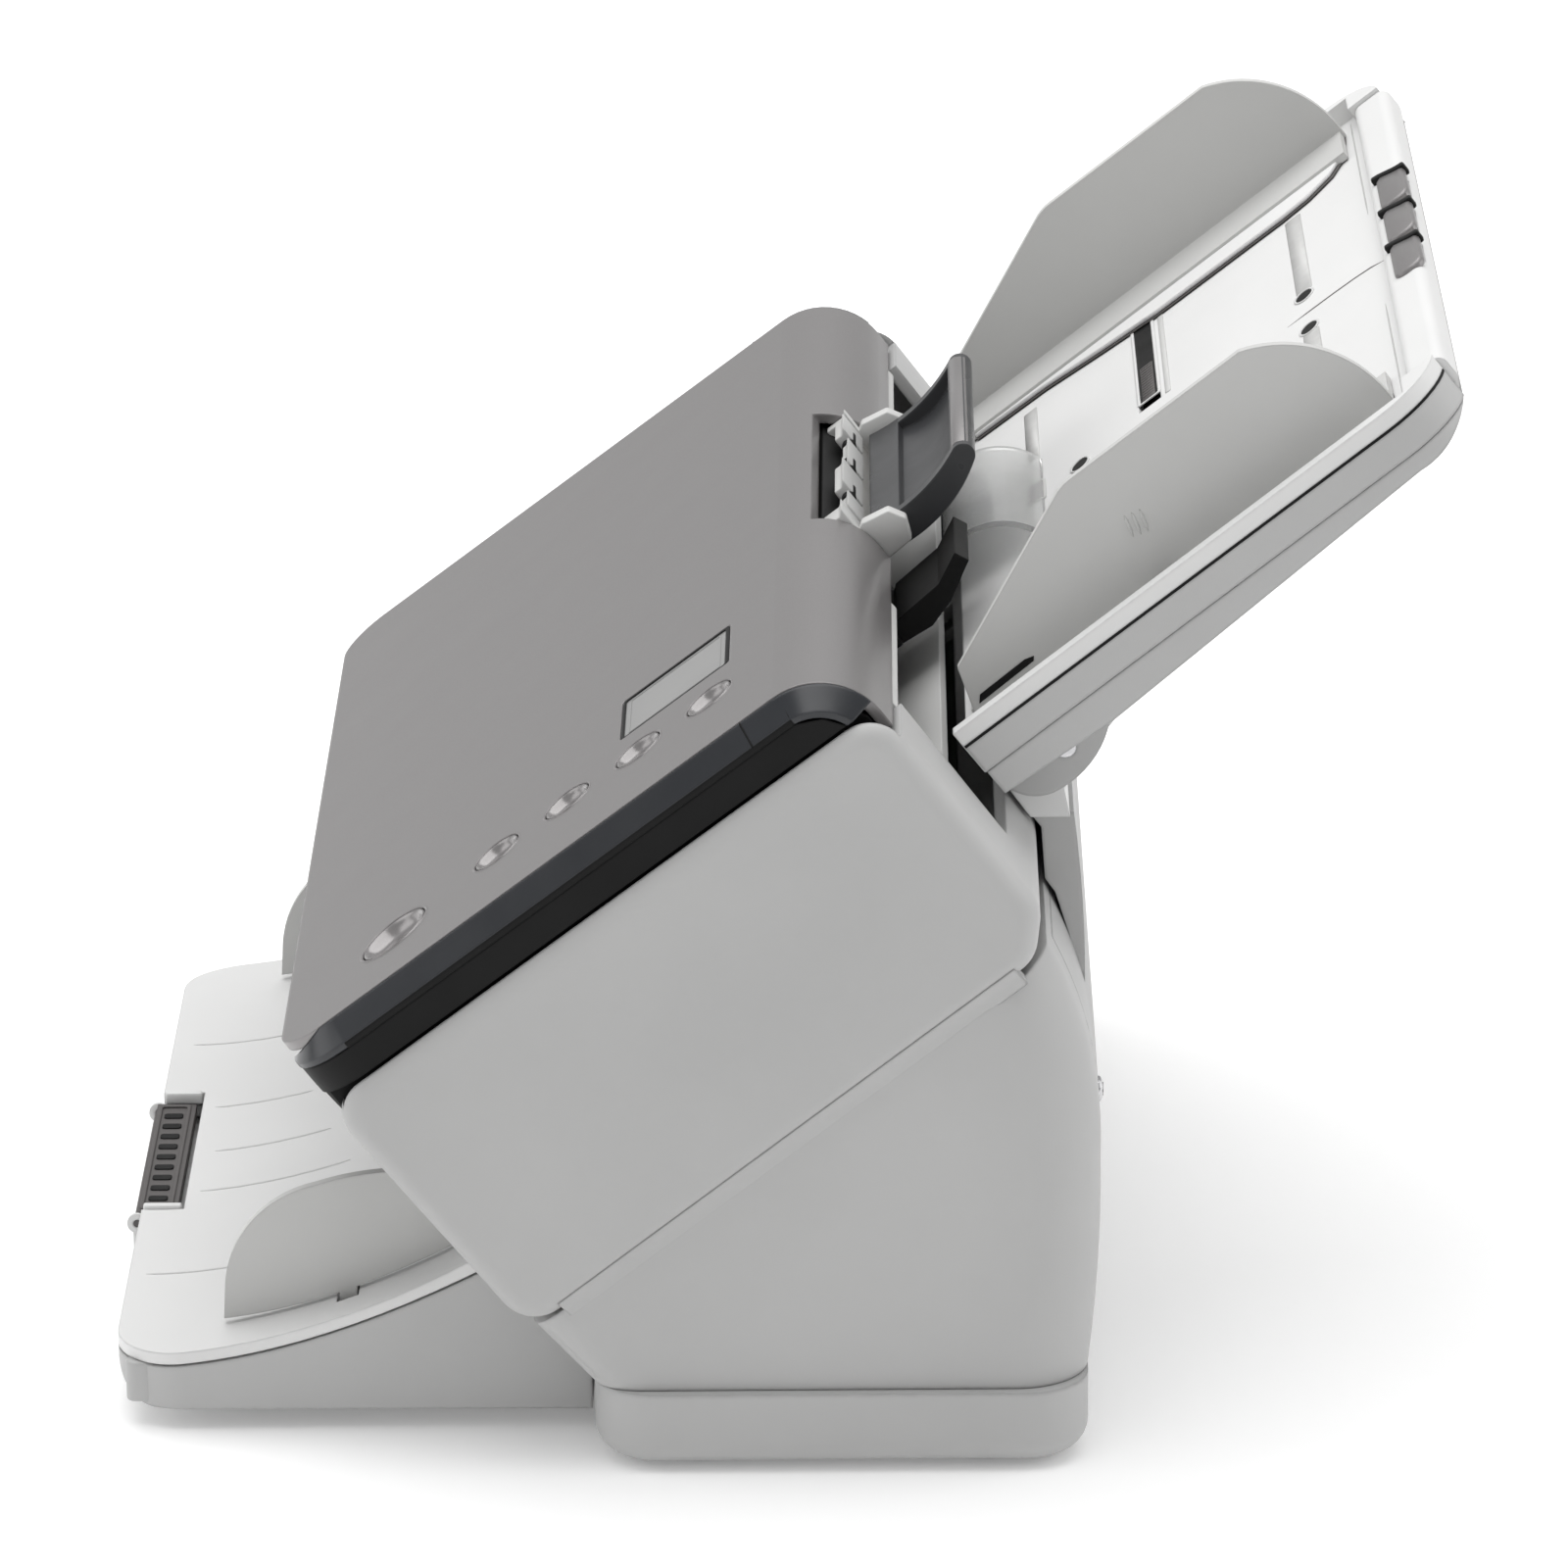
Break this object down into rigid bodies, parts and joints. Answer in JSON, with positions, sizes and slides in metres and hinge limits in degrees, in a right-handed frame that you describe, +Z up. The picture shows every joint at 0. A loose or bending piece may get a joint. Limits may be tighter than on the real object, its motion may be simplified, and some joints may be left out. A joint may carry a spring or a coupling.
{
  "type": "sheet fed document scanner",
  "caption": "Desktop document scanner with an opening front unit, a folding input tray with sliding side guides, and a flat output tray with a pull-out stop.",
  "frame": {"origin": "on the surface it stands on, under the middle of the whole object with both trays open", "axes": "+X towards the keys and the screen (the operator's right), +Y to the back, +Z up"},
  "size_m": [0.304, 0.3071, 0.2515],
  "materials": {
    "casing": "fine matt, light grey",
    "skin": "satin metallic grey",
    "grip": "fine matt, dark grey",
    "liner": "fine matt, pale grey",
    "lever": "satin charcoal",
    "slate": "satin dark slate",
    "black": "fine matt black",
    "plinth": "fine matt, light grey",
    "tray": "fine matt, nearly white",
    "guide": "fine matt grey",
    "metal": "turned steel",
    "frame_metal": "dark grey coated sheet",
    "rubber": "ground rubber",
    "gear": "natural moulded plastic",
    "glass": "polished",
    "board": "lacquered board",
    "flap": "clear film",
    "screen": "polished dark window",
    "button": "polished grey"
  },
  "bodies": {
    "machine": {"base_plate": "plinth", "rubber_feet": "rubber", "lower_casing": "casing", "rear_cover": "casing", "power_socket": "black", "usb_socket": "metal", "upper_casing": "casing", "hinge_housing": "tray", "hinge_pins": "metal", "main_frame": "frame_metal", "rear_paper_guide": "liner", "rear_scan_glass": "glass", "rear_scan_bar": "black", "drive_belt": "rubber", "drive_motor": "metal", "mainboard": "board", "output_tray_base": "casing", "output_tray_top": "tray", "casing_screws": "metal"},
    "front_unit": {"front_cover": "skin", "cover_bezel": "slate", "cover_frame": "black", "front_paper_guide": "liner", "front_scan_glass": "glass", "front_scan_bar": "black", "control_board": "board", "display_window": "screen", "lever_bracket": "gear"},
    "drive_roller": {"drive_shaft": "metal", "drive_roller_tyres": "rubber", "drive_gear": "gear"},
    "feed_roller": {"feed_shaft": "metal", "feed_roller_tyres": "rubber", "feed_gear": "gear"},
    "exit_roller": {"exit_shaft": "metal", "exit_roller_tyres": "rubber"},
    "idler": {"idler_gear": "gear"},
    "motor_rotor": {"motor_pinion": "metal"},
    "upper_pinch": {"upper_pinch_roller": "rubber"},
    "lower_pinch": {"lower_pinch_roller": "rubber"},
    "separation": {"separation_roller": "rubber"},
    "release_lever": {"release_lever": "lever"},
    "gap_lever": {"gap_lever": "black"},
    "power_button": {"power_button": "button"},
    "key_1": {"key_1": "button"},
    "key_2": {"key_2": "button"},
    "key_3": {"key_3": "button"},
    "key_4": {"key_4": "button"},
    "input_tray": {"tray_shell": "casing", "tray_floor": "tray", "paper_flap": "flap"},
    "tray_extender": {"tray_extender": "tray", "extender_grip": "grip"},
    "side_guide_right": {"side_guide_right": "guide"},
    "side_guide_left": {"side_guide_left": "guide"},
    "guide_pinion": {"guide_pinion": "gear"},
    "output_extender": {"output_extender": "tray"},
    "output_stop": {"output_stop": "grip"},
    "output_guide_right": {"output_guide_right": "guide"},
    "output_guide_left": {"output_guide_left": "guide"}
  },
  "joints": [
    {"name": "front_unit_hinge", "type": "hinge", "parent": "machine", "child": "front_unit", "pos_m": [0, -0.08214, 0.08158], "axis": [1, 0, 0], "range_deg": [0, 60]},
    {"name": "input_tray_hinge", "type": "hinge", "parent": "machine", "child": "input_tray", "pos_m": [0, 0.06711, 0.15713], "axis": [1, 0, 0], "range_deg": [0, 30]},
    {"name": "release_lever_pivot", "type": "hinge", "parent": "front_unit", "child": "release_lever", "pos_m": [0, 0.02923, 0.18053], "axis": [1, 0, 0], "range_deg": [0, 10], "stiffness_Nm_per_rad": 1.2},
    {"name": "gap_lever_pivot", "type": "hinge", "parent": "front_unit", "child": "gap_lever", "pos_m": [0, 0.02777, 0.16503], "axis": [1, 0, 0], "range_deg": [0, 14], "stiffness_Nm_per_rad": 0.3},
    {"name": "power_button_press", "type": "slide", "parent": "front_unit", "child": "power_button", "axis": [0, 0.6018, -0.7986], "range_m": [0, 0.001], "stiffness_N_per_m": 900},
    {"name": "key_1_press", "type": "slide", "parent": "front_unit", "child": "key_1", "axis": [0, 0.6018, -0.7986], "range_m": [0, 0.001], "stiffness_N_per_m": 900},
    {"name": "key_2_press", "type": "slide", "parent": "front_unit", "child": "key_2", "axis": [0, 0.6018, -0.7986], "range_m": [0, 0.001], "stiffness_N_per_m": 900},
    {"name": "key_3_press", "type": "slide", "parent": "front_unit", "child": "key_3", "axis": [0, 0.6018, -0.7986], "range_m": [0, 0.001], "stiffness_N_per_m": 900},
    {"name": "key_4_press", "type": "slide", "parent": "front_unit", "child": "key_4", "axis": [0, 0.6018, -0.7986], "range_m": [0, 0.001], "stiffness_N_per_m": 900},
    {"name": "tray_extender_slide", "type": "slide", "parent": "input_tray", "child": "tray_extender", "axis": [0, 0.788, 0.6157], "range_m": [0, 0.045]},
    {"name": "side_guide_right_slide", "type": "slide", "parent": "input_tray", "child": "side_guide_right", "axis": [-1, 0, 0], "range_m": [0, 0.05]},
    {"name": "side_guide_left_slide", "type": "slide", "parent": "input_tray", "child": "side_guide_left", "axis": [1, 0, 0], "range_m": [0, 0.05]},
    {"name": "guide_pinion_spin", "type": "hinge", "parent": "input_tray", "child": "guide_pinion", "pos_m": [0, 0.09238, 0.19464], "axis": [0, -0.6157, 0.788], "range_deg": [-5, 415]},
    {"name": "output_extender_slide", "type": "slide", "parent": "machine", "child": "output_extender", "axis": [0, -1, 0], "range_m": [0, 0.045]},
    {"name": "output_stop_hinge", "type": "hinge", "parent": "output_extender", "child": "output_stop", "pos_m": [0, -0.1502, 0.0144], "axis": [1, 0, 0], "range_deg": [0, 90]},
    {"name": "output_guide_right_slide", "type": "slide", "parent": "machine", "child": "output_guide_right", "axis": [-1, 0, 0], "range_m": [0, 0.045]},
    {"name": "output_guide_left_slide", "type": "slide", "parent": "machine", "child": "output_guide_left", "axis": [1, 0, 0], "range_m": [0, 0.045]},
    {"name": "drive_roller_spin", "type": "hinge", "parent": "machine", "child": "drive_roller", "pos_m": [0, 0.00225, 0.11913], "axis": [1, 0, 0], "continuous": true},
    {"name": "motor_spin", "type": "hinge", "parent": "machine", "child": "motor_rotor", "pos_m": [0, 0.00751, 0.10191], "axis": [1, 0, 0], "continuous": true},
    {"name": "idler_spin", "type": "hinge", "parent": "machine", "child": "idler", "pos_m": [0, 0.01463, 0.12846], "axis": [1, 0, 0], "continuous": true},
    {"name": "feed_roller_spin", "type": "hinge", "parent": "machine", "child": "feed_roller", "pos_m": [0, 0.02701, 0.13778], "axis": [1, 0, 0], "continuous": true},
    {"name": "exit_roller_spin", "type": "hinge", "parent": "machine", "child": "exit_roller", "pos_m": [0, -0.05365, 0.077], "axis": [1, 0, 0], "continuous": true},
    {"name": "upper_pinch_spin", "type": "hinge", "parent": "front_unit", "child": "upper_pinch", "pos_m": [0, -0.00762, 0.13223], "axis": [1, 0, 0], "continuous": true},
    {"name": "lower_pinch_spin", "type": "hinge", "parent": "front_unit", "child": "lower_pinch", "pos_m": [0, -0.06352, 0.0901], "axis": [1, 0, 0], "continuous": true},
    {"name": "separation_spin", "type": "hinge", "parent": "front_unit", "child": "separation", "pos_m": [0, 0.01533, 0.15328], "axis": [1, 0, 0], "continuous": true}
  ],
  "couplings": [
    {"joint": "side_guide_left_slide", "follows": "side_guide_right_slide", "ratio": 1},
    {"joint": "guide_pinion_spin", "follows": "side_guide_right_slide", "rad_per_m": 142.86},
    {"joint": "output_guide_left_slide", "follows": "output_guide_right_slide", "ratio": 1},
    {"joint": "motor_spin", "follows": "drive_roller_spin", "ratio": -2},
    {"joint": "idler_spin", "follows": "drive_roller_spin", "ratio": -1.0667},
    {"joint": "feed_roller_spin", "follows": "drive_roller_spin", "ratio": 1},
    {"joint": "exit_roller_spin", "follows": "drive_roller_spin", "ratio": 1}
  ]
}
